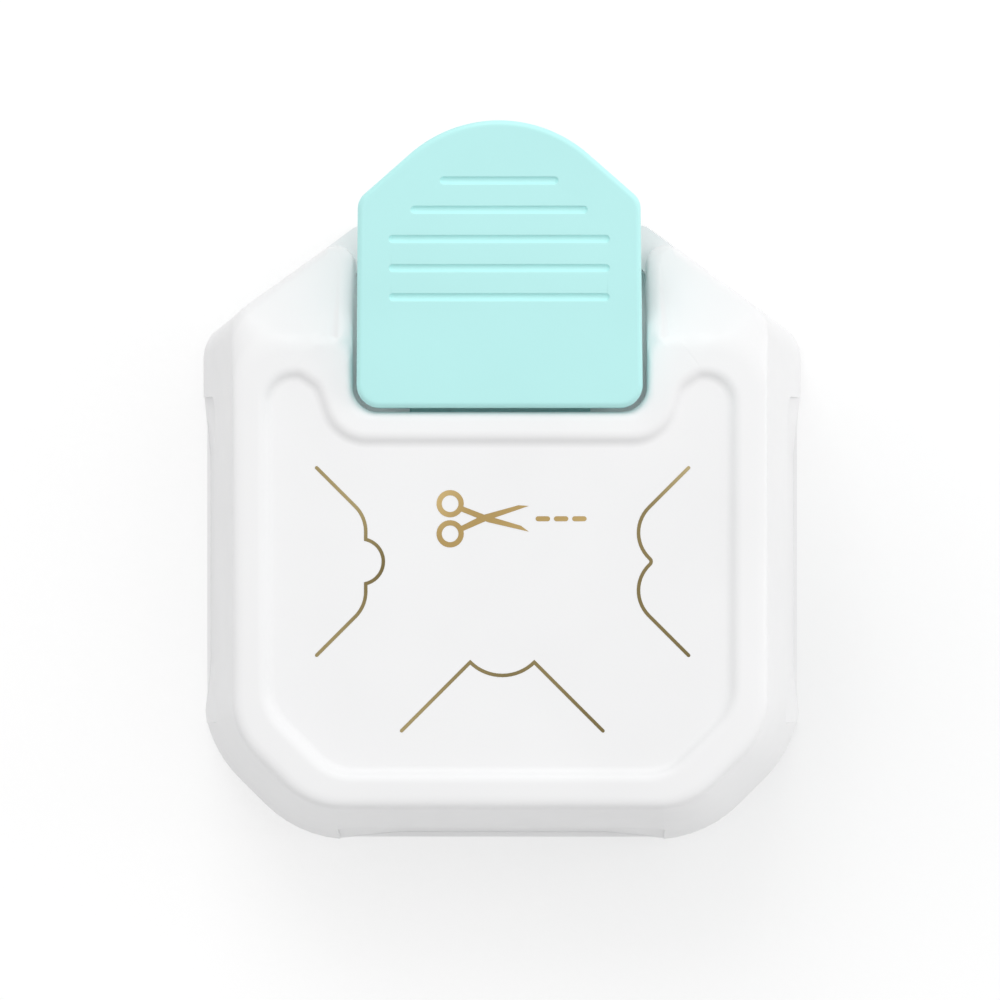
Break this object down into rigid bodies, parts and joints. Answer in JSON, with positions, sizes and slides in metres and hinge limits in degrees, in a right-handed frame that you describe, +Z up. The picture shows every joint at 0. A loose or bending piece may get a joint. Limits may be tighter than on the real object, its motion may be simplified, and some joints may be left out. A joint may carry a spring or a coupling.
{
  "type": "corner punch",
  "caption": "Desktop paper corner punch: white moulded housing with paper slots on three sides, a punch and die in each, and one sprung thumb lever at the back.",
  "frame": {"origin": "centre of the base's footprint, on its underside", "axes": "+X to the right as the user sits, +Y to the back towards the lever's thumb end, +Z up"},
  "size_m": [0.0984, 0.1155, 0.051],
  "materials": {
    "housing_white": "satin-gloss moulded ABS, plain white",
    "lever_mint": "satin moulded ABS, pale mint",
    "guide_grey": "matt moulded nylon, light grey",
    "tool_steel": "ground hardened steel",
    "bright_steel": "bright drawn steel",
    "dark_steel": "black-oxide steel",
    "spring_steel": "drawn spring wire"
  },
  "bodies": {
    "housing": {"top_housing": "housing_white", "base_housing": "housing_white", "pivot_pin": "bright_steel", "pin_clips": "dark_steel", "die_left": "tool_steel", "die_right": "tool_steel", "die_front": "tool_steel", "guide_left": "guide_grey", "guide_right": "guide_grey", "guide_front": "guide_grey", "station_screws": "dark_steel", "guide_posts": "bright_steel", "spring_front_left": "spring_steel", "spring_front_right": "spring_steel", "spring_rear_left": "spring_steel", "spring_rear_right": "spring_steel", "housing_screws": "dark_steel"},
    "lever": {"lever": "lever_mint"},
    "carrier": {"punch_carrier": "guide_grey", "wear_plate": "bright_steel", "punch_left": "tool_steel", "punch_right": "tool_steel", "punch_front": "tool_steel", "punch_screws": "dark_steel"}
  },
  "joints": [
    {"name": "lever_hinge", "type": "hinge", "parent": "housing", "child": "lever", "pos_m": [0, -0.036, 0.03], "axis": [-1, 0, 0], "range_deg": [0, 9.3], "stiffness_Nm_per_rad": 4, "springref_deg": -5.73},
    {"name": "punch_slide", "type": "slide", "parent": "housing", "child": "carrier", "axis": [0, 0, -1], "range_m": [0, 0.0042], "deforming": ["spring_front_left", "spring_front_right", "spring_rear_left", "spring_rear_right"]}
  ],
  "couplings": [
    {"joint": "punch_slide", "follows": "lever_hinge", "m_per_rad": 0.0246}
  ]
}
